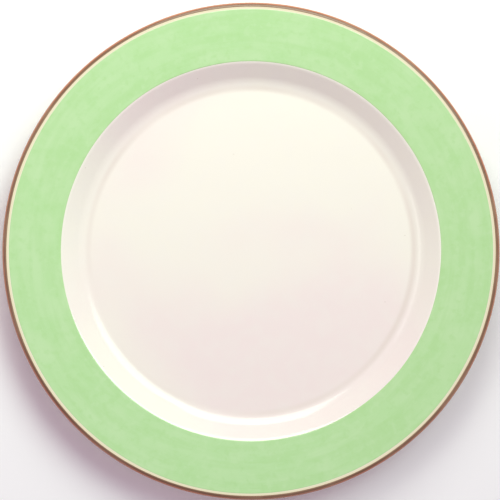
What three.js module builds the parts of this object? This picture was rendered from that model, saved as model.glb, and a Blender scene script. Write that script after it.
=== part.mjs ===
// A china dinner plate with a mint-green rim band and a terracotta edge line.
// Millimetres, +Z up. The origin is the centre of the foot ring's standing plane.
//
// The plate is one fired clay body. Everything else is a skin that the kiln has bonded to it:
// the clear glaze, which stops short of the foot ring's bare standing face, and two bands of
// colour on the glaze. Each skin shares its boundary with what it lies on, so there is no gap.
import * as THREE from "three";

// Overall sizes
const PLATE_DIAMETER = 270;
const PLATE_HEIGHT = 21;

// Face: flat well, sloping verge, wide rim, round lip
const RIM_WIDTH = 32.2; // from the plate's edge to the break between rim and verge
const VERGE_WIDTH = 11.3; // horizontal run of the slope between rim and well
const VERGE_RISE = 8.8;
const RIM_THICKNESS = 4.4; // the lip is a full round of this thickness
const WELL_FILLET = 14; // hollow curve where the well turns up into the verge
const SHOULDER_RADIUS = 5; // rounded break between verge and rim

// Back: underside of the rim, foot ring and the shallow recess inside it
const FLOOR_THICKNESS = 5;
const UNDER_SHOULDER_FILLET = 7;
const FOOT_DEPTH = 3; // from the standing plane up to the underside of the floor
const FOOT_WIDTH = 4.6; // at the standing plane, before its corners are rounded
const FOOT_INSET = 8; // from the well's sharp corner in to the foot ring's outer side
const FOOT_DRAFT = 10; // degrees that each side of the foot leans
const FOOT_CORNER_RADIUS = 0.9;
const FOOT_FILLET = 1.3;

// Fired-on skins
const GLAZE_THICKNESS = 0.25;
const BARE_FOOT_HEIGHT = 1.2; // the glaze is wiped off the foot up to here
const COLOUR_THICKNESS = 0.08;
const EDGE_LINE_WIDTH = 2.4; // from the plate's edge inwards
const EDGE_LINE_DROP = 1.1; // how far the line runs on below the lip's widest point
const PALE_GAP = 1.2; // bare glaze between the edge line and the green band
const BAND_TO_BREAK = 0.5; // from the green band's inner edge to the rim's break

const FINISHES = {
  china: { color: 0xe9e3d6, roughness: 0.6 },
  glaze: { color: 0xf8f4e6, roughness: 0.08 },
  green: { color: 0xb9e6a6, roughness: 0.14 },
  terracotta: { color: 0x7e4630, roughness: 0.2 },
};

const SEGMENTS = 60; // facets round the plate
const CHORD_ERROR = 0.1; // how far a facet may cut inside a rounded corner

// The plate's section, as THREE.Vector2 points with x for radius and y for height. It is a walk
// along straight edges with the plate on the right hand: out over the face, round the lip and
// back in underneath. An edge is a point that it passes through and the angle that it heads in.
const edge = (r, z, angle) => ({ point: new THREE.Vector2(r, z), angle });
const heading = (angle) => new THREE.Vector2(Math.cos(angle), Math.sin(angle));
const outward = (e) => heading(e.angle + Math.PI / 2);

function shifted(e, offset) {
  const point = e.point.clone().addScaledVector(outward(e), offset);
  return { point, angle: e.angle };
}

function crossing(a, b) {
  const normal = outward(b);
  const ahead = heading(a.angle);
  const distance = b.point.clone().sub(a.point).dot(normal) / ahead.dot(normal);
  return a.point.clone().addScaledVector(ahead, distance);
}

const atRadius = (e, r) => crossing(e, edge(r, 0, Math.PI / 2));
const atHeight = (e, z) => crossing(e, edge(0, z, 0));

// The rounded corner between two edges, on the surface that lies `offset` outside theirs. Its
// centre doesn't depend on the offset, so surfaces at different offsets stay parallel.
function corner(from, to, radius, offset = 0) {
  const turn = to.angle - from.angle;
  const hollow = Math.sign(turn);
  const centre = crossing(shifted(from, hollow * radius), shifted(to, hollow * radius));
  const steps = Math.ceil(Math.abs(turn) / (2 * Math.acos(1 - CHORD_ERROR / radius)));
  return Array.from({ length: steps + 1 }, (_, i) => {
    const spoke = heading(from.angle + (turn * i) / steps - (hollow * Math.PI) / 2);
    return centre.clone().addScaledVector(spoke, radius - hollow * offset);
  });
}

// The edge on the back that runs the other way, a thickness below one on the face
function under(face, thickness) {
  return { point: shifted(face, -thickness).point, angle: face.angle - Math.PI };
}

// Edges of the glazed surface, which the colour lies on
const lipRadius = RIM_THICKNESS / 2;
const toLipCentre = COLOUR_THICKNESS + lipRadius;
const lipCentre = new THREE.Vector2(PLATE_DIAMETER / 2 - toLipCentre, PLATE_HEIGHT - toLipCentre);
const wellHeight = FOOT_DEPTH + FLOOR_THICKNESS;
const breakRadius = PLATE_DIAMETER / 2 - RIM_WIDTH;
const wellRadius = breakRadius - VERGE_WIDTH;
const footRadius = wellRadius - FOOT_INSET;
const draft = THREE.MathUtils.degToRad(FOOT_DRAFT);

const well = edge(0, wellHeight, 0);
const verge = edge(wellRadius, wellHeight, Math.atan2(VERGE_RISE, VERGE_WIDTH));
const rimBreak = new THREE.Vector2(breakRadius, wellHeight + VERGE_RISE);
const breakToLip = lipCentre.clone().sub(rimBreak);
const rimSlope = Math.atan2(breakToLip.y, breakToLip.x) + Math.asin(lipRadius / breakToLip.length());
const rim = edge(rimBreak.x, rimBreak.y, rimSlope);
const lipTop = edge(0, lipCentre.y + lipRadius, 0);
const lipSide = edge(lipCentre.x + lipRadius, 0, -Math.PI / 2);
const rimUnder = under(rim, RIM_THICKNESS);
const vergeUnder = under(verge, FLOOR_THICKNESS);
const floorUnder = under(well, FLOOR_THICKNESS);
const footOuter = edge(footRadius, 0, -Math.PI / 2 - draft);
const standing = edge(0, 0, -Math.PI);
const footInner = edge(footRadius - FOOT_WIDTH, 0, -1.5 * Math.PI + draft);

// From the centre of the well, out over the lip and in to where the glaze stops on the foot
function outerSurface(offset) {
  return [
    atRadius(shifted(well, offset), 0),
    ...corner(well, verge, WELL_FILLET, offset),
    ...corner(verge, rim, SHOULDER_RADIUS, offset),
    ...corner(rim, lipTop, lipRadius, offset),
    ...corner(lipTop, lipSide, lipRadius, offset).slice(1),
    ...corner(lipSide, rimUnder, lipRadius, offset).slice(1),
    ...corner(rimUnder, vergeUnder, UNDER_SHOULDER_FILLET, offset),
    ...corner(vergeUnder, floorUnder, WELL_FILLET + FLOOR_THICKNESS, offset),
    ...corner(floorUnder, footOuter, FOOT_FILLET, offset),
    atHeight(shifted(footOuter, offset), BARE_FOOT_HEIGHT),
  ];
}

// From the centre of the recess, out to where the glaze stops on the foot ring's inner side
function recessSurface(offset) {
  return [
    atRadius(shifted(floorUnder, offset), 0),
    ...corner(footInner, floorUnder, FOOT_FILLET, offset).reverse(),
    atHeight(shifted(footInner, offset), BARE_FOOT_HEIGHT),
  ];
}

// The bare foot is the body's own surface, which the glaze covers everywhere else
function bareFoot() {
  const outer = shifted(footOuter, -GLAZE_THICKNESS);
  const inner = shifted(footInner, -GLAZE_THICKNESS);
  return [
    ...corner(outer, standing, FOOT_CORNER_RADIUS),
    ...corner(standing, inner, FOOT_CORNER_RADIUS),
  ];
}

// The place on the outer surface, as a number of points along it, where a measure of its points
// first rises past a limit
function placeWhere(measure, limit) {
  const values = outerSurface(0).map(measure);
  const next = values.findIndex((v, i) => i > 0 && values[i - 1] < limit && v >= limit);
  return next - (values[next] - limit) / (values[next] - values[next - 1]);
}

function pointAt(surface, place) {
  const i = Math.floor(place);
  return surface[i].clone().lerp(surface[i + 1], place - i);
}

// The stretch of the outer surface between two places, both ends included
function stretch(offset, [start, end]) {
  const surface = outerSurface(offset);
  const between = surface.filter((_, i) => i > start && i < end);
  return [pointAt(surface, start), ...between, pointAt(surface, end)];
}

const fromAxis = (p) => p.x;
const downwards = (p) => -p.y;
const lineInnerEdge = PLATE_DIAMETER / 2 - EDGE_LINE_WIDTH;
const bandPlaces = [
  placeWhere(fromAxis, breakRadius + BAND_TO_BREAK),
  placeWhere(fromAxis, lineInnerEdge - PALE_GAP),
];
const linePlaces = [
  placeWhere(fromAxis, lineInnerEdge),
  placeWhere(downwards, EDGE_LINE_DROP - lipCentre.y),
];

// The glaze's outer surface, with a ring of its own points under each edge of the colours
function paintedSurface() {
  const surface = outerSurface(0);
  const places = [...surface.keys(), ...bandPlaces, ...linePlaces].sort((a, b) => a - b);
  return places.map((place) => surface[place] ?? pointAt(surface, place));
}

// Turning a section about the plate's axis makes a solid, if the section starts and ends on the
// axis or closes on itself. A lathe turns about Y, so the group stands the plate up.
const plate = new THREE.Group();
plate.rotation.x = Math.PI / 2;

function add(name, section, finish) {
  const geometry = new THREE.LatheGeometry(section, SEGMENTS);
  const mesh = new THREE.Mesh(geometry, new THREE.MeshStandardMaterial(finish));
  mesh.name = name;
  plate.add(mesh);
}

// What lies between two surfaces: out along the first and back along the second
const skin = (lower, upper) => [...lower, ...upper.reverse()];

function addColour(name, places, finish) {
  const section = skin(stretch(0, places), stretch(COLOUR_THICKNESS, places));
  add(name, [...section, section[0]], finish);
}

const faceAndFoot = [...outerSurface(-GLAZE_THICKNESS), ...bareFoot()];
add("china_body", skin(recessSurface(-GLAZE_THICKNESS), faceAndFoot), FINISHES.china);
add("outer_glaze", skin(outerSurface(-GLAZE_THICKNESS), paintedSurface()), FINISHES.glaze);
add("recess_glaze", skin(recessSurface(0), recessSurface(-GLAZE_THICKNESS)), FINISHES.glaze);
addColour("green_band", bandPlaces, FINISHES.green);
addColour("edge_line", linePlaces, FINISHES.terracotta);

export default plate;
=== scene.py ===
"""A china dinner plate with a mint-green rim band and a terracotta line over its lip.

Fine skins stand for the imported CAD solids. All of them are turned from one section, which is
worked out from the CAD nodes' own boxes and a few driving dimensions, in metres, with +Z up.
"""

import math
from collections import namedtuple

import bmesh
import bpy
import numpy as np
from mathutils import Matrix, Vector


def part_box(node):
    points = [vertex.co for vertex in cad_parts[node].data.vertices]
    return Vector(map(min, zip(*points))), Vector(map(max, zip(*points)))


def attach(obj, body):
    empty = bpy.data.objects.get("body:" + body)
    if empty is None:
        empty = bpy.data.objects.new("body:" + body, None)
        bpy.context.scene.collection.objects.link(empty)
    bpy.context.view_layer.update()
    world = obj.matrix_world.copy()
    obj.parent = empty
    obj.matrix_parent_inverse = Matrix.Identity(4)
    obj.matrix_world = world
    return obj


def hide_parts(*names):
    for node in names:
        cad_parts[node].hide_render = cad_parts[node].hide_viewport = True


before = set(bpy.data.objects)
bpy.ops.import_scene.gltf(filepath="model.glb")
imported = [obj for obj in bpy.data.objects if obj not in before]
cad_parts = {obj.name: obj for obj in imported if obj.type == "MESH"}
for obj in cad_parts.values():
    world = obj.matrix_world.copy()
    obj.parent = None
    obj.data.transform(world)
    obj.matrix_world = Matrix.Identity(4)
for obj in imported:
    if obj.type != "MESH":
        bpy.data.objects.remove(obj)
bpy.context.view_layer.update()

MM = 0.001

# Overall sizes and heights, from the frame
PLATE_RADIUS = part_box("edge_line")[1].x
PLATE_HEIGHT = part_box("edge_line")[1].z
BARE_FOOT_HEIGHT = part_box("outer_glaze")[0].z
BODY_OVER_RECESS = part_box("recess_glaze")[1].z
BAND_OUTER_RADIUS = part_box("green_band")[1].x
BAND_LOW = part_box("green_band")[0].z

# Driving dimensions that no CAD box states
RIM_WIDTH = 32.2 * MM
VERGE_WIDTH = 11.3 * MM
VERGE_RISE = 8.8 * MM
RIM_THICKNESS = 4.4 * MM
WELL_FILLET = 14 * MM
SHOULDER_RADIUS = 5 * MM
FLOOR_THICKNESS = 5 * MM
UNDER_SHOULDER_FILLET = 7 * MM
FOOT_INSET = 8 * MM
FOOT_WIDTH = 4.6 * MM
FOOT_DRAFT = math.radians(10)
FOOT_CORNER_RADIUS = 0.9 * MM
FOOT_FILLET = 1.3 * MM
GLAZE_THICKNESS = 0.25 * MM
COLOUR_THICKNESS = 0.08 * MM
EDGE_LINE_WIDTH = 2.4 * MM
EDGE_LINE_DROP = 1.1 * MM

# What the kiln and the hand leave, because no real plate is perfectly even
GLAZE_WAVE = 0.018 * MM
WAVE_LENGTHS = (14 * MM, 45 * MM)
TURNING_MARK = 0.003 * MM
MARK_LENGTHS = (6 * MM, 13 * MM)
MARKS_BEGIN = 15 * MM  # the turning marks fade in from the axis to this radius
BRUSH_WANDER = 0.13 * MM
GLAZE_STOP_WANDER = 0.16 * MM
STOP_REACH = 5 * MM  # the glaze is even further than this from where it stops
GLAZE_ROLL = 0.8 * MM  # the glaze draws back from the bare foot in a round edge this wide
COLOUR_ROLL = 0.4 * MM
COLOUR_SINK = 0.03 * MM  # how far fired colour sinks into the glaze
BRUSH_RIDGE = 0.3  # how much thicker the colour is along the edges of a brush stroke
BRUSH_STREAKS = (0.9 * MM, 1.4 * MM, 2.3 * MM, 3.7 * MM)
STREAK_DEPTH = 0.4  # share of the colour's thinning that the streaks change
STREAK_WANDER = 0.8  # radians
EVEN_LIP = 6 * MM  # the unevenness dies away over this much of the rim, up to the lip

# How finely the skins are cut
SEGMENTS = 360
CHORD_ERROR = 0.002 * MM
SHOWN_SPACING = 1.7 * MM
HIDDEN_SPACING = 12 * MM
HIDDEN_SKIP = 3  # only every third ring is kept where nothing shows
COLOUR_SPACING = 0.3 * MM
MERGE_DISTANCE = 0.0001 * MM  # closes the rings that lie on the axis
SHARP_ANGLE = math.radians(50)
CROWDING = 0.35  # how much the colour's rings crowd towards its edges

rng = np.random.default_rng(12)
angles = np.arange(SEGMENTS) * (2 * math.pi / SEGMENTS)


# --- Section -----------------------------------------------------------------------------------
# It is a walk along straight edges with the plate on the right hand: out over the face, round
# the lip and back in underneath.

Edge = namedtuple("Edge", "point angle")


def heading(angle):
    return np.array([math.cos(angle), math.sin(angle)])


def outward(edge):
    return heading(edge.angle + math.pi / 2)


def level(height, angle=0.0):
    return Edge(np.array([0.0, height]), angle)


def upright(radius, angle=math.pi / 2):
    return Edge(np.array([radius, 0.0]), angle)


def shifted(edge, offset):
    return Edge(edge.point + offset * outward(edge), edge.angle)


def under(face, thickness):
    return Edge(shifted(face, -thickness).point, face.angle - math.pi)


def crossing(a, b):
    normal, ahead = outward(b), heading(a.angle)
    return a.point + ahead * ((b.point - a.point) @ normal / (ahead @ normal))


def corner(start, end, radius):
    """Points and outward directions round the arc that joins two edges."""
    turn = end.angle - start.angle
    hollow = math.copysign(1, turn)
    centre = crossing(shifted(start, hollow * radius), shifted(end, hollow * radius))
    steps = math.ceil(abs(turn) / (2 * math.acos(1 - CHORD_ERROR / radius)))
    normals = [outward(Edge(None, start.angle + turn * i / steps)) for i in range(steps + 1)]
    return [(centre - hollow * radius * normal, normal) for normal in normals]


def smooth_step(x):
    x = np.clip(x, 0, 1)
    return x * x * (3 - 2 * x)


class Surface:
    """A line of the section, read by the distance along it, with its outward direction."""

    def __init__(self, line):
        points, normals = (np.array(column) for column in zip(*line))
        apart = np.linalg.norm(np.diff(points, axis=0), axis=1)
        kept = np.concatenate([[True], apart > 1e-9])
        self.points, self.normals = points[kept], normals[kept]
        self.places = np.concatenate([[0], np.cumsum(apart[apart > 1e-9])])
        self.length = self.places[-1]

    def at(self, places, lift=0.0):
        """(radius, height) at each place, lifted off the surface."""
        read = [np.interp(places, self.places, c) for c in (*self.points.T, *self.normals.T)]
        return np.stack([read[0] + lift * read[2], read[1] + lift * read[3]], axis=-1)

    def where(self, measure, limit):
        """The place where a measure of its points first rises past a limit."""
        values = measure(self.points)
        i = int(np.flatnonzero((values[:-1] < limit) & (values[1:] >= limit))[0])
        share = (limit - values[i]) / (values[i + 1] - values[i])
        return self.places[i] + share * (self.places[i + 1] - self.places[i])

    def rings(self, spacing):
        """Places for rings: every point of the arcs, and straight runs cut to the spacing."""
        runs = []
        for start, end in zip(self.places, self.places[1:]):
            count = max(1, math.ceil((end - start) / spacing))
            runs.append(np.linspace(start, end, count, endpoint=False))
        return np.concatenate([*runs, [self.length]])


lip_radius = RIM_THICKNESS / 2
lip_centre = np.array([PLATE_RADIUS, PLATE_HEIGHT]) - COLOUR_THICKNESS - lip_radius
foot_depth = BODY_OVER_RECESS - GLAZE_THICKNESS
well_height = foot_depth + FLOOR_THICKNESS
break_radius = PLATE_RADIUS - RIM_WIDTH
well_radius = break_radius - VERGE_WIDTH
foot_radius = well_radius - FOOT_INSET

well = level(well_height)
verge = Edge(np.array([well_radius, well_height]), math.atan2(VERGE_RISE, VERGE_WIDTH))
rim_break = np.array([break_radius, well_height + VERGE_RISE])
to_lip = lip_centre - rim_break
rim_slope = math.atan2(to_lip[1], to_lip[0]) + math.asin(lip_radius / np.linalg.norm(to_lip))
rim = Edge(rim_break, rim_slope)
lip_top = level(lip_centre[1] + lip_radius)
lip_side = upright(lip_centre[0] + lip_radius, -math.pi / 2)
rim_under = under(rim, RIM_THICKNESS)
verge_under = under(verge, FLOOR_THICKNESS)
floor_under = under(well, FLOOR_THICKNESS)
foot_outer = upright(foot_radius, -math.pi / 2 - FOOT_DRAFT)
foot_inner = upright(foot_radius - FOOT_WIDTH, -1.5 * math.pi + FOOT_DRAFT)
standing = level(0.0, -math.pi)
glaze_stop = level(BARE_FOOT_HEIGHT)

outer = Surface(
    [
        (well.point, outward(well)),
        *corner(well, verge, WELL_FILLET),
        *corner(verge, rim, SHOULDER_RADIUS),
        *corner(rim, lip_top, lip_radius),
        *corner(lip_top, lip_side, lip_radius),
        *corner(lip_side, rim_under, lip_radius),
        *corner(rim_under, verge_under, UNDER_SHOULDER_FILLET),
        *corner(verge_under, floor_under, WELL_FILLET + FLOOR_THICKNESS),
        *corner(floor_under, foot_outer, FOOT_FILLET),
        (crossing(foot_outer, glaze_stop), outward(foot_outer)),
    ]
)
recess = Surface(
    [
        (floor_under.point, outward(floor_under)),
        *reversed(corner(foot_inner, floor_under, FOOT_FILLET)),
        (crossing(foot_inner, glaze_stop), outward(foot_inner)),
    ]
)
bare_outer = shifted(foot_outer, -GLAZE_THICKNESS)
bare_inner = shifted(foot_inner, -GLAZE_THICKNESS)
bare_foot = Surface(
    [
        *corner(bare_outer, standing, FOOT_CORNER_RADIUS),
        *corner(standing, bare_inner, FOOT_CORNER_RADIUS),
    ]
)


def radii(points):
    return points[:, 0]


def heights(points):
    return points[:, 1]


def depths(points):
    return -points[:, 1]


# Places on the outer surface where the colours start and end
LINE_INNER_RADIUS = PLATE_RADIUS - EDGE_LINE_WIDTH
band_start = outer.where(heights, BAND_LOW)
band_end = outer.where(radii, BAND_OUTER_RADIUS)
line_start = outer.where(radii, LINE_INNER_RADIUS)
line_end = outer.where(depths, EDGE_LINE_DROP - lip_centre[1])
BAND_INNER_RADIUS = outer.at(band_start)[0]


# --- Unevenness --------------------------------------------------------------------------------

WAVES = 24
wave_headings = rng.uniform(0, 2 * math.pi, WAVES)
wave_lengths = rng.uniform(*WAVE_LENGTHS, WAVES)
wave_phases = rng.uniform(0, 2 * math.pi, WAVES)
MARKS = 8
mark_lengths = rng.uniform(*MARK_LENGTHS, MARKS)
mark_phases = rng.uniform(0, 2 * math.pi, MARKS)
wander_orders = np.arange(2, 17)[:, None]  # waves in one round of the plate


def unevenness(surface, places):
    """How far the fired glaze stands off its ideal surface, at places[ring][segment]."""
    radius = surface.at(places)[..., 0]
    x, y = radius * np.cos(angles), radius * np.sin(angles)
    waves = np.zeros_like(radius)
    for way, length, phase in zip(wave_headings, wave_lengths, wave_phases):
        across = x * math.cos(way) + y * math.sin(way)
        waves += np.cos(2 * math.pi * across / length + phase) / math.sqrt(WAVES)
    marks = np.zeros_like(radius)
    for length, phase in zip(mark_lengths, mark_phases):
        marks += np.cos(2 * math.pi * places / length + phase) / math.sqrt(MARKS)
    marks *= smooth_step(radius / MARKS_BEGIN)
    fade = smooth_step((lip_centre[0] - EVEN_LIP / 2 - radius) / EVEN_LIP)
    return fade * (GLAZE_WAVE * waves + TURNING_MARK * marks)


def wander(size):
    """A smooth wave that closes on itself round the plate and never passes the size."""
    amounts = rng.normal(size=wander_orders.shape) / np.sqrt(wander_orders)
    phases = rng.uniform(0, 2 * math.pi, wander_orders.shape)
    wave = (amounts * np.cos(wander_orders * angles + phases)).sum(axis=0)
    return size * wave / np.abs(wave).max()


def round_edge(distance, width):
    """From 0 at an edge to 1 a width away from it, along a quarter of an ellipse."""
    return np.sqrt(1 - (1 - np.clip(distance / width, 0, 1)) ** 2)


# --- Skins -------------------------------------------------------------------------------------


def turned(name, section, closed, node, material):
    """The solid round the axis with (radius, height) section[ring][segment], as one piece.

    The section has the solid on its left. It closes on itself, or starts and ends on the axis.
    """
    radius, height = section[..., 0], section[..., 1]
    points = np.stack([radius * np.cos(angles), radius * np.sin(angles), height], axis=-1)
    count = len(section)
    ring = np.arange(count if closed else count - 1)[:, None] * SEGMENTS
    next_ring = (ring + SEGMENTS) % (count * SEGMENTS)
    here = np.arange(SEGMENTS)
    there = (here + 1) % SEGMENTS
    faces = np.stack([ring + here, ring + there, next_ring + there, next_ring + here], axis=-1)
    mesh = bpy.data.meshes.new(name)
    mesh.from_pydata(points.reshape(-1, 3).tolist(), [], faces.reshape(-1, 4).tolist())
    bm = bmesh.new()
    bm.from_mesh(mesh)
    bmesh.ops.remove_doubles(bm, verts=bm.verts, dist=MERGE_DISTANCE)
    bm.to_mesh(mesh)
    bm.free()
    mesh.shade_smooth()
    mesh.set_sharp_from_angle(angle=SHARP_ANGLE)
    mesh.materials.append(material)
    piece = bpy.data.objects.new(name, mesh)
    bpy.context.scene.collection.objects.link(piece)
    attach(piece, "root")
    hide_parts(node)


def everywhere(places):
    """The same places on every segment."""
    return np.repeat(places[:, None], SEGMENTS, axis=1)


def hidden_rings(surface):
    """Places for the rings of a surface that nothing shows, far fewer than for a shown one."""
    rings = surface.rings(HIDDEN_SPACING)
    return np.append(rings[:-1:HIDDEN_SKIP], surface.length)


def glazed(surface):
    """Hidden and shown side of a glaze skin that thins to a round edge where it stops."""
    stop = GLAZE_STOP_WANDER + wander(GLAZE_STOP_WANDER)

    def drawn_back(places):
        near = smooth_step((places - surface.length) / STOP_REACH + 1)
        return everywhere(places) - near[:, None] * stop

    shown = drawn_back(surface.rings(SHOWN_SPACING))
    hidden = drawn_back(hidden_rings(surface))
    edge = round_edge(surface.length - stop - shown, GLAZE_ROLL)
    lift = (unevenness(surface, shown) + GLAZE_THICKNESS) * edge - GLAZE_THICKNESS
    return surface.at(hidden, -GLAZE_THICKNESS), surface.at(shown, lift)


def colour_band(start, end):
    """Closed section of fired colour between two wandering places on the outer surface."""
    count = math.ceil((end - start).max() / COLOUR_SPACING)
    near_edges = 0.5 - 0.5 * np.cos(np.linspace(0, math.pi, count + 1))
    even = np.linspace(0, 1, count + 1)
    across = (CROWDING * near_edges + (1 - CROWDING) * even)[:, None]
    places = start + across * (end - start)
    distance = np.minimum(places - start, end - places)
    ridge = np.exp(-(((distance - COLOUR_ROLL) / COLOUR_ROLL) ** 2))
    streaks = np.zeros_like(places)
    for length in BRUSH_STREAKS:
        phase = wander(STREAK_WANDER) + rng.uniform(0, 6.3)  # anywhere in one whole turn
        streaks += np.cos(2 * math.pi * (places / length) + phase) / len(BRUSH_STREAKS)
    body = 1 - BRUSH_RIDGE * (1 - ridge) * (1 - STREAK_DEPTH + STREAK_DEPTH * streaks)
    height = (COLOUR_THICKNESS * body + COLOUR_SINK) * round_edge(distance, COLOUR_ROLL)
    base = unevenness(outer, places) - COLOUR_SINK
    return np.concatenate([outer.at(places, base), outer.at(places, base + height)[::-1]])


# --- Materials ---------------------------------------------------------------------------------

NOISE_RANGE = (0.3, 0.7)  # nearly all of a noise lies within it
GLASS_IOR = 1.52

GLAZE_COLOUR = (0.88, 0.85, 0.745)
GLAZE_PAINTED_SHADE_COLOUR = (0.87, 0.775, 0.73)
GLAZE_THIN_COLOUR = (0.865, 0.835, 0.76)
GLAZE_LIP_COLOUR = (0.81, 0.74, 0.51)
GLAZE_DARK_RING_COLOUR = (0.73, 0.645, 0.57)
GLAZE_ROUGHNESS = 0.13
# Painted shade: a pinker, darker patch of glaze, shifted so that it lies over the centre and
# south of the well, where the light falls off
PAINTED_SHADE_SIZE = 110 * MM
PAINTED_SHADE_SHIFT = (0.0, 0.0, 5.9)
THIN_SIZE = 9 * MM
LIP_FADE = 0.6 * MM
DARK_RING_RADIUS = well_radius - 2.7 * MM  # the glaze is darker in a ring where the well starts to turn up
DARK_RING_WIDTH = 2.7 * MM
DARK_RING_PATCH_SIZE = 60 * MM
SPECK_COLOUR = (0.45, 0.36, 0.26)
SPECK_SPACING = 13 * MM
SPECK_RADII = (0.014, 0.024)  # inner and outer, as shares of the spacing
ORANGE_PEEL = 0.006 * MM
ORANGE_PEEL_SIZE = 2.6 * MM
PINHOLE = 0.012 * MM
PINHOLE_SIZE = 0.9 * MM
GLOSS_SIZE = 22 * MM

GREEN_COLOUR = (0.46, 0.725, 0.345)
GREEN_THIN_COLOUR = (0.505, 0.745, 0.39)
GREEN_THICK_COLOUR = (0.42, 0.69, 0.30)
GREEN_ROUGHNESS = 0.12
GREEN_CLOUD_SIZE = 16 * MM
GREEN_BLOTCH_SIZE = 4 * MM
GREEN_GLOSS_SIZE = 9 * MM
GREEN_RIPPLE = 0.012 * MM
GREEN_RIPPLE_SIZE = 2.2 * MM
BRUSH_TURNS = 14 * MM  # the larger, the shorter the brush streaks
FINE_STREAK = 0.9 * MM
FINE_STREAK_DEPTH = 0.006 * MM
BROAD_STREAK = 4.5 * MM
BAND_DARK_EDGE = 0.7 * MM

LINE_COLOUR = (0.17, 0.085, 0.045)
LINE_THIN_COLOUR = (0.34, 0.21, 0.125)
LINE_FRINGE_COLOUR = (0.52, 0.18, 0.09)
LINE_ROUGHNESS = 0.2
LINE_TURNS = 30 * MM
LINE_STREAK = 3 * MM
LINE_UNEVENNESS = 0.5 * MM
LINE_FRINGE = PLATE_RADIUS - 0.95 * MM  # the brown turns redder from here, over the next width
LINE_FRINGE_WIDTH = 0.7 * MM
LINE_START = (0.25 * MM, 1.3 * MM)  # the line is thin from its inner edge to between these
LINE_PATCH_SIZE = 70 * MM
LINE_GRAIN = 0.012 * MM
LINE_GRAIN_SIZE = 0.5 * MM

CLAY_COLOUR = (0.80, 0.755, 0.67)
CLAY_DARK_COLOUR = (0.72, 0.665, 0.575)
CLAY_RUBBED_COLOUR = (0.52, 0.49, 0.45)
CLAY_ROUGHNESS = 0.72
CLAY_RUBBED_ROUGHNESS = 0.5
CLAY_IOR = 1.5
CLAY_CLOUD_SIZE = 7 * MM
CLAY_GRAIN = 0.03 * MM
CLAY_GRAIN_SIZE = 0.35 * MM
RUB_SIZE = 2.5 * MM
RUB_TURNS = 25 * MM


class Finish:
    """A Principled material, and short ways to add the nodes that drive it."""

    def __init__(self, name):
        self.material = bpy.data.materials.new(name)
        self.material.use_nodes = True
        self.nodes = self.material.node_tree.nodes
        self.links = self.material.node_tree.links
        self.shader = next(n for n in self.nodes if n.type == "BSDF_PRINCIPLED")
        self.place = self.add("ShaderNodeTexCoord").outputs["Object"]
        self.normal = None

    def add(self, kind, inputs=None, **settings):
        node = self.nodes.new(kind)
        for key, value in settings.items():
            setattr(node, key, value)
        for socket, value in (inputs or {}).items():
            self.feed(node.inputs[socket], value)
        return node

    def feed(self, socket, value):
        """Link a socket to another, or set it. A colour is given as three numbers."""
        if isinstance(value, bpy.types.NodeSocket):
            self.links.new(value, socket)
        elif socket.type == "RGBA":
            socket.default_value = (*value, 1.0)
        else:
            socket.default_value = value

    def math(self, operation, a, b=0.0):
        return self.add("ShaderNodeMath", {0: a, 1: b}, operation=operation).outputs[0]

    def vector(self, operation, inputs, output=0):
        return self.add("ShaderNodeVectorMath", inputs, operation=operation).outputs[output]

    def ramp(self, value, low, high, to_low=0.0, to_high=1.0):
        """The value brought smoothly from low..high to another range, and held outside it."""
        inputs = {0: value, 1: low, 2: high, 3: to_low, 4: to_high}
        kind = dict(interpolation_type="SMOOTHSTEP", clamp=True)
        return self.add("ShaderNodeMapRange", inputs, **kind).outputs[0]

    def noise(self, size, detail=2.0, place=None):
        """Noise of about 0..1 with features of the given size."""
        inputs = {"Vector": place or self.place, "Scale": 1 / size, "Detail": detail}
        return self.add("ShaderNodeTexNoise", inputs).outputs[0]

    def varied(self, noise, low=0.0, high=1.0):
        """A noise spread over low..high."""
        return self.ramp(noise, *NOISE_RANGE, low, high)

    def hump(self, value, middle, width):
        """1 at the middle, falling smoothly to 0 a width away on either side."""
        distance = self.math("ABSOLUTE", self.math("SUBTRACT", value, middle))
        return self.ramp(distance, 0.0, width, 1.0, 0.0)

    def mix(self, share, a, b):
        """Colour a, with a share of colour b in it."""
        return self.add("ShaderNodeMix", {0: share, 6: a, 7: b}, data_type="RGBA").outputs[2]

    def flat(self):
        """The place, with its height left out."""
        return self.vector("MULTIPLY", {0: self.place, 1: (1, 1, 0)})

    def radius(self):
        return self.vector("LENGTH", {0: self.flat()}, "Value")

    def round_the_plate(self, radius, turns):
        """Coordinates that change quickly outwards and slowly round the plate, with no seam."""
        way = self.vector("NORMALIZE", {0: self.flat()})
        slow = self.vector("SCALE", {0: way, "Scale": turns})
        x, y, _ = self.add("ShaderNodeSeparateXYZ", {0: slow}).outputs
        return self.add("ShaderNodeCombineXYZ", {0: x, 1: y, 2: radius}).outputs[0]

    def relief(self, height, depth):
        """Lay a bump of the given depth, in metres, over those already there."""
        inputs = {"Height": height, "Distance": depth}
        if self.normal:
            inputs["Normal"] = self.normal
        self.normal = self.add("ShaderNodeBump", inputs).outputs[0]

    def set(self, **inputs):
        for name, value in inputs.items():
            self.feed(self.shader.inputs[name.replace("_", " ")], value)
        if self.normal:
            self.feed(self.shader.inputs["Normal"], self.normal)
        return self.material


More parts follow.
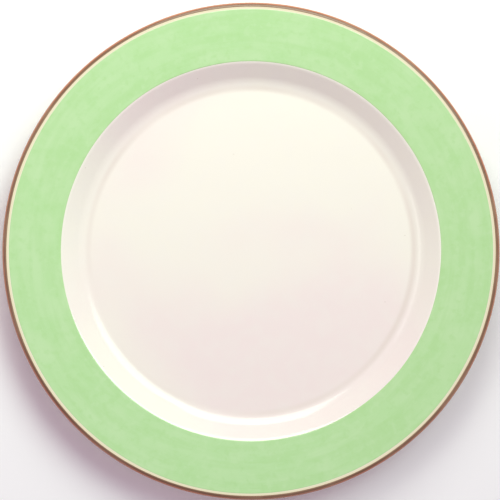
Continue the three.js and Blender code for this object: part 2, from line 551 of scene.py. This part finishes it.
def glaze_material(name):
    f = Finish(name)
    radius = f.radius()

    # painted shade: the pinker patch over the centre and south of the well, where the light
    # falls off
    patch = f.noise(PAINTED_SHADE_SIZE, 2.0, f.vector("ADD", {0: f.place, 1: PAINTED_SHADE_SHIFT}))
    colour = f.mix(f.ramp(patch, 0.42, 0.66), GLAZE_COLOUR, GLAZE_PAINTED_SHADE_COLOUR)
    thin = f.ramp(f.noise(THIN_SIZE, 3.0), 0.35, 0.75, 0.0, 0.3)
    colour = f.mix(thin, colour, GLAZE_THIN_COLOUR)
    at_lip = f.ramp(radius, BAND_OUTER_RADIUS - LIP_FADE, BAND_OUTER_RADIUS + LIP_FADE)
    colour = f.mix(at_lip, colour, GLAZE_LIP_COLOUR)
    # a darker ring, patchy round the plate, in the hollow where the well turns up
    patchy = f.varied(f.noise(DARK_RING_PATCH_SIZE), 0.1, 0.6)
    dark_ring = f.math("MULTIPLY", f.hump(radius, DARK_RING_RADIUS, DARK_RING_WIDTH), patchy)
    colour = f.mix(dark_ring, colour, GLAZE_DARK_RING_COLOUR)
    cells = {"Vector": f.place, "Scale": 1 / SPECK_SPACING}
    from_speck = f.add("ShaderNodeTexVoronoi", cells).outputs["Distance"]
    speck = f.ramp(from_speck, *SPECK_RADII, 1.0, 0.0)
    colour = f.mix(f.math("MULTIPLY", speck, 0.5), colour, SPECK_COLOUR)

    f.relief(f.noise(ORANGE_PEEL_SIZE, 1.0), ORANGE_PEEL)
    f.relief(f.ramp(f.noise(PINHOLE_SIZE, 1.0), 0.2, 0.28), PINHOLE)
    gloss = f.noise(GLOSS_SIZE, 3.0)
    rough = f.varied(gloss, GLAZE_ROUGHNESS * 0.8, GLAZE_ROUGHNESS * 1.25)
    return f.set(Base_Color=colour, Roughness=rough, IOR=GLASS_IOR)


def green_material():
    f = Finish("mint enamel")
    radius = f.radius()
    along = f.round_the_plate(radius, BRUSH_TURNS)
    streak = f.noise(FINE_STREAK, 2.0, along)
    broad = f.noise(BROAD_STREAK, 2.0, along)

    colour = f.mix(f.varied(f.noise(GREEN_CLOUD_SIZE, 3.0)), GREEN_COLOUR, GREEN_THIN_COLOUR)
    colour = f.mix(f.ramp(broad, 0.35, 0.7, 0.0, 0.55), colour, GREEN_THICK_COLOUR)
    colour = f.mix(f.ramp(streak, 0.55, 0.75, 0.0, 0.35), colour, GREEN_THIN_COLOUR)
    blotch = f.noise(GREEN_BLOTCH_SIZE, 3.0)
    colour = f.mix(f.ramp(blotch, 0.5, 0.72, 0.0, 0.55), colour, GREEN_THICK_COLOUR)
    colour = f.mix(f.ramp(blotch, 0.28, 0.48, 0.6, 0.0), colour, GREEN_THIN_COLOUR)
    inner = f.ramp(radius, BAND_INNER_RADIUS, BAND_INNER_RADIUS + BAND_DARK_EDGE, 1.0, 0.0)
    outer_edge = f.ramp(radius, BAND_OUTER_RADIUS - BAND_DARK_EDGE, BAND_OUTER_RADIUS)
    edges = f.math("MULTIPLY", f.math("MAXIMUM", inner, outer_edge), 0.5)
    colour = f.mix(edges, colour, GREEN_THICK_COLOUR)

    f.relief(streak, FINE_STREAK_DEPTH)
    f.relief(f.noise(GREEN_RIPPLE_SIZE, 1.0), GREEN_RIPPLE)
    gloss = f.noise(GREEN_GLOSS_SIZE, 3.0)
    rough = f.varied(gloss, GREEN_ROUGHNESS * 0.8, GREEN_ROUGHNESS * 1.3)
    return f.set(Base_Color=colour, Roughness=rough, IOR=GLASS_IOR)


def terracotta_material():
    f = Finish("terracotta enamel")
    radius = f.radius()
    uneven = f.noise(LINE_STREAK, 3.0, f.round_the_plate(radius, LINE_TURNS))
    wandering = f.math("ADD", radius, f.math("MULTIPLY", uneven, LINE_UNEVENNESS))

    fringe = f.ramp(wandering, LINE_FRINGE, LINE_FRINGE + LINE_FRINGE_WIDTH)
    colour = f.mix(fringe, LINE_COLOUR, LINE_FRINGE_COLOUR)
    start, end = (LINE_INNER_RADIUS + distance for distance in LINE_START)
    colour = f.mix(f.ramp(wandering, start, end, 0.75, 0.0), colour, LINE_THIN_COLOUR)
    patch = f.ramp(f.noise(LINE_PATCH_SIZE), 0.4, 0.6, 0.1, 0.7)
    thin = f.math("MULTIPLY", f.ramp(uneven, 0.4, 0.7, 0.4, 1.0), patch)
    colour = f.mix(thin, colour, LINE_THIN_COLOUR)

    f.relief(f.noise(LINE_GRAIN_SIZE, 2.0), LINE_GRAIN)
    rough = f.varied(uneven, LINE_ROUGHNESS * 0.8, LINE_ROUGHNESS * 1.3)
    return f.set(Base_Color=colour, Roughness=rough, IOR=GLASS_IOR)


def clay_material():
    f = Finish("fired clay")
    cloud = f.varied(f.noise(CLAY_CLOUD_SIZE, 4.0))
    colour = f.mix(cloud, CLAY_COLOUR, CLAY_DARK_COLOUR)
    rub = f.ramp(f.noise(RUB_SIZE, 3.0, f.round_the_plate(f.radius(), RUB_TURNS)), 0.55, 0.75)
    colour = f.mix(f.math("MULTIPLY", rub, 0.35), colour, CLAY_RUBBED_COLOUR)

    f.relief(f.noise(CLAY_GRAIN_SIZE, 4.0), CLAY_GRAIN)
    rough = f.ramp(rub, 0.0, 1.0, CLAY_ROUGHNESS, CLAY_RUBBED_ROUGHNESS)
    return f.set(Base_Color=colour, Roughness=rough, IOR=CLAY_IOR)


glaze = glaze_material("clear glaze")
green = green_material()
terracotta = terracotta_material()
clay = clay_material()


# --- Pieces ------------------------------------------------------------------------------------

body_recess = recess.at(everywhere(hidden_rings(recess)), -GLAZE_THICKNESS)
body_foot = bare_foot.at(everywhere(bare_foot.rings(SHOWN_SPACING)))
body_outer = outer.at(everywhere(hidden_rings(outer)), -GLAZE_THICKNESS)
body = np.concatenate([body_recess, body_foot[::-1], body_outer[::-1]])
turned("fired_body", body, False, "china_body", clay)

hidden, shown = glazed(outer)
face = np.concatenate([hidden, shown[::-1]])
turned("face_glaze", face, False, "outer_glaze", glaze)
hidden, shown = glazed(recess)
foot_recess = np.concatenate([shown, hidden[::-1]])
turned("foot_recess_glaze", foot_recess, False, "recess_glaze", glaze)

band = colour_band(band_start + wander(BRUSH_WANDER), band_end + wander(BRUSH_WANDER))
turned("mint_band", band, True, "green_band", green)

line = colour_band(line_start + wander(BRUSH_WANDER), line_end + wander(BRUSH_WANDER))
turned("terracotta_line", line, True, "edge_line", terracotta)


# --- Studio ------------------------------------------------------------------------------------

DOME_LIGHT = (0.47, 0.35, 0.45)
HORIZON_LIGHT = (0.63, 0.585, 0.635)
HORIZON_FADE = (0.04, 0.42)  # sines of the elevations where the horizon's light gives way
SOFTBOX_COLOUR = (0.89, 1.0, 0.86)
SOFTBOX_WATTS = 2.42
SOFTBOX_SIDE = 0.4
STRIP_COLOUR = (1.0, 0.95, 0.93)
STRIP_WATTS = 0.36
STRIP_SIZE = (0.5, 0.15)
BOUNCE_COLOUR = (0.75, 1.0, 0.875)
BOUNCE_STRENGTH = 1.075
BOUNCE_SPREAD = math.radians(35)

FLOOR_COLOUR = (0.93, 0.925, 0.915)
FLOOR_DARK_COLOUR = (0.915, 0.91, 0.90)
FLOOR_ROUGHNESS = 0.9
FLOOR_CLOUD_SIZE = 120 * MM
FLOOR_REACH = 40.0  # far enough that its edge passes for the horizon

scene = bpy.context.scene
scene.view_settings.view_transform = "Standard"


def floor_material():
    f = Finish("pale floor")
    cloud = f.varied(f.noise(FLOOR_CLOUD_SIZE, 3.0))
    colour = f.mix(cloud, FLOOR_COLOUR, FLOOR_DARK_COLOUR)
    return f.set(Base_Color=colour, Roughness=FLOOR_ROUGHNESS)


floor_mesh = bpy.data.meshes.new("floor")
signs = [(-1, -1), (1, -1), (1, 1), (-1, 1)]
corners = [(x * FLOOR_REACH, y * FLOOR_REACH, 0) for x, y in signs]
floor_mesh.from_pydata(corners, [], [(0, 1, 2, 3)])
floor_mesh.materials.append(floor_material())
floor = bpy.data.objects.new("floor", floor_mesh)
scene.collection.objects.link(floor)

# Soft light from all round, brighter and paler towards the horizon
world = bpy.data.worlds.new("studio")
world.use_nodes = True
sky, sky_links = world.node_tree.nodes, world.node_tree.links
background = next(n for n in sky if n.type == "BACKGROUND")
way = sky.new("ShaderNodeTexCoord")
parts = sky.new("ShaderNodeSeparateXYZ")
climb = sky.new("ShaderNodeMapRange")
climb.interpolation_type = "SMOOTHSTEP"
climb.inputs[1].default_value, climb.inputs[2].default_value = HORIZON_FADE
shade = sky.new("ShaderNodeMix")
shade.data_type = "RGBA"
shade.inputs[6].default_value = (*HORIZON_LIGHT, 1.0)
shade.inputs[7].default_value = (*DOME_LIGHT, 1.0)
sky_links.new(way.outputs["Generated"], parts.inputs[0])
sky_links.new(parts.outputs["Z"], climb.inputs[0])
sky_links.new(climb.outputs[0], shade.inputs[0])
sky_links.new(shade.outputs[2], background.inputs["Color"])
scene.world = world


def lamp(name, kind, compass, elevation, colour, energy, distance=1.0):
    """A light aimed at the plate's centre, at angles in degrees; the compass is from +X."""
    compass, elevation = math.radians(compass), math.radians(elevation)
    data = bpy.data.lights.new(name, kind)
    data.color = colour
    data.energy = energy
    light = bpy.data.objects.new(name, data)
    level_reach = distance * math.cos(elevation)
    light.location = (
        level_reach * math.cos(compass),
        level_reach * math.sin(compass),
        distance * math.sin(elevation),
    )
    light.rotation_euler = (math.pi / 2 - elevation, 0, compass + math.pi / 2)
    light.visible_camera = False
    scene.collection.objects.link(light)
    return data


softbox = lamp("softbox", "AREA", 90, 45, SOFTBOX_COLOUR, SOFTBOX_WATTS, distance=0.6)
softbox.shape = "SQUARE"
softbox.size = SOFTBOX_SIDE
strip = lamp("strip", "AREA", 175, 53, STRIP_COLOUR, STRIP_WATTS, distance=0.8)
strip.shape = "RECTANGLE"
strip.size, strip.size_y = STRIP_SIZE
bounce = lamp("far bounce", "SUN", 45, 50, BOUNCE_COLOUR, BOUNCE_STRENGTH)
bounce.angle = BOUNCE_SPREAD

LENS = 300.0  # mm, so long that the plate's near lip hides nothing
SENSOR_WIDTH = 36.0  # mm
FRAME_WIDTH = 271.1 * MM  # at the height of the lip
FRAME_CENTRE = (-0.54 * MM, 0.65 * MM)
CLIP_END = 100.0
camera = bpy.data.cameras.new("camera")
camera.lens = LENS
camera.sensor_width = SENSOR_WIDTH
camera.clip_end = CLIP_END
eye = bpy.data.objects.new("camera", camera)
eye.location = (*FRAME_CENTRE, PLATE_HEIGHT + FRAME_WIDTH * LENS / SENSOR_WIDTH)
scene.collection.objects.link(eye)
scene.camera = eye
